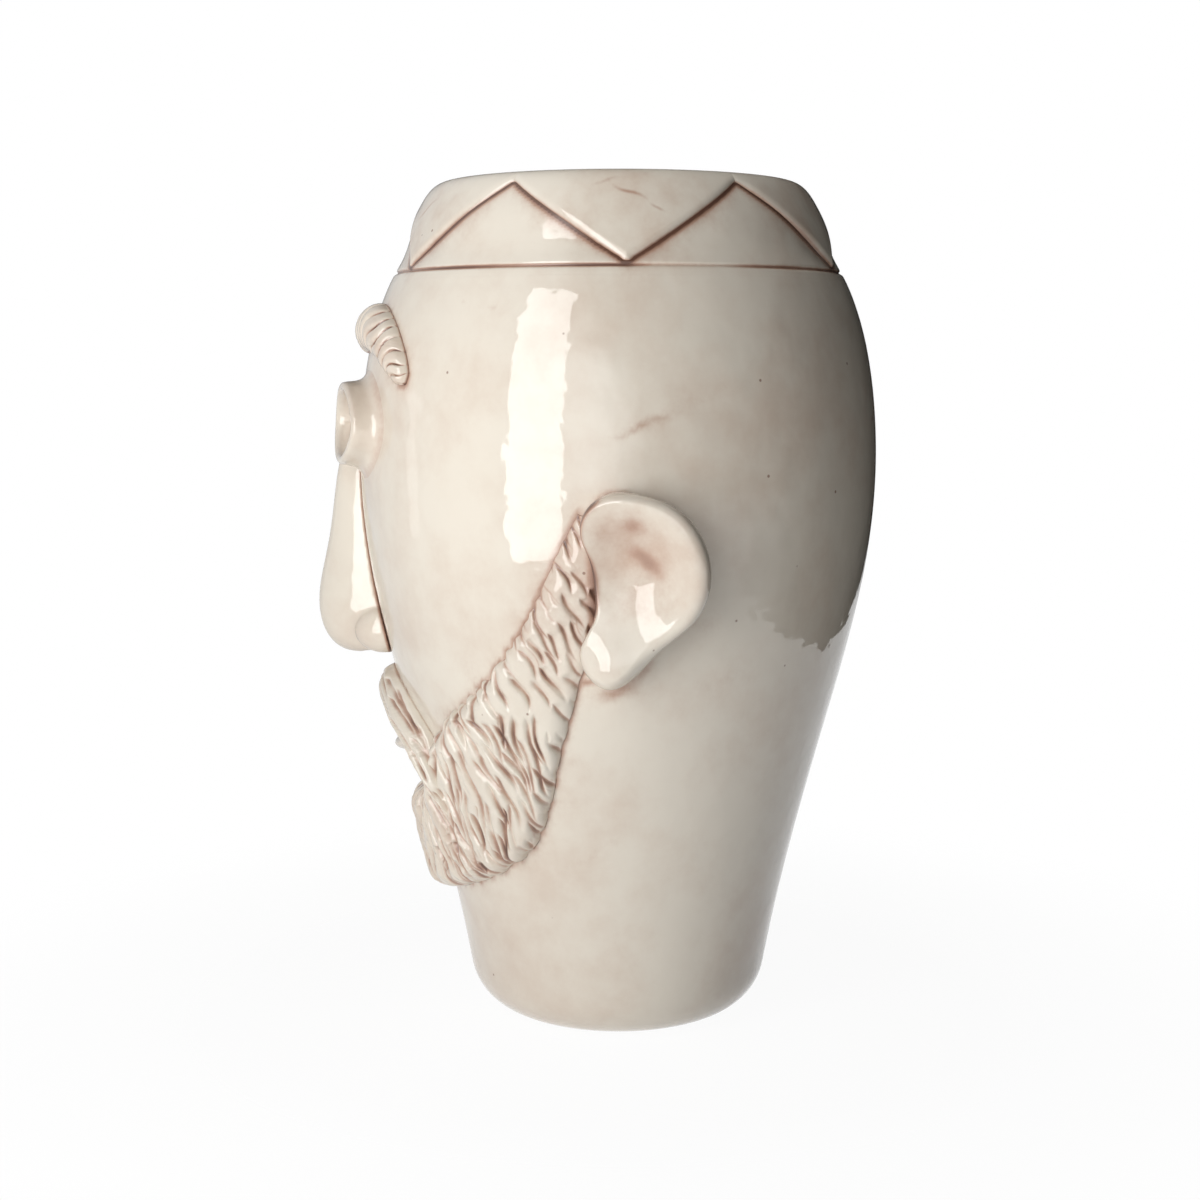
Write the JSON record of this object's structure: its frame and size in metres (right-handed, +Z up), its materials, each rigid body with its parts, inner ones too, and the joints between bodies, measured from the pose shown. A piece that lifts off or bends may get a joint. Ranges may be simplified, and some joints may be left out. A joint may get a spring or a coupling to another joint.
{
  "type": "face vase",
  "caption": "Bulbous hollow vase shaped as a bearded head, open at the top inside a crown of folded-over points, with applied ears, nose, eyes, brows, moustache and beard.",
  "frame": {"origin": "centre of the flat underside of the foot", "axes": "+Z up along the vessel's axis, the face looks along -Y, its left ear on the +X side"},
  "size_m": [0.2612, 0.2696, 0.4],
  "materials": {
    "glazed_wall": "glossy cream glaze over a thin brown oxide wash",
    "glazed_relief": "glossy cream glaze, brown oxide left in the carved grooves"
  },
  "bodies": {
    "root": {"vase_body": "glazed_wall", "crown_point_1": "glazed_wall", "crown_point_2": "glazed_wall", "crown_point_3": "glazed_wall", "crown_point_4": "glazed_wall", "crown_point_5": "glazed_wall", "crown_point_6": "glazed_wall", "ear_left": "glazed_wall", "ear_right": "glazed_wall", "eye_socket_left": "glazed_wall", "eye_socket_right": "glazed_wall", "eyeball_left": "glazed_wall", "eyeball_right": "glazed_wall", "nose": "glazed_wall", "upper_lip": "glazed_wall", "lower_lip": "glazed_wall", "brow_left": "glazed_relief", "brow_right": "glazed_relief", "moustache_left": "glazed_relief", "moustache_right": "glazed_relief", "beard_left": "glazed_relief", "beard_right": "glazed_relief", "beard_chin": "glazed_relief"}
  },
  "joints": []
}
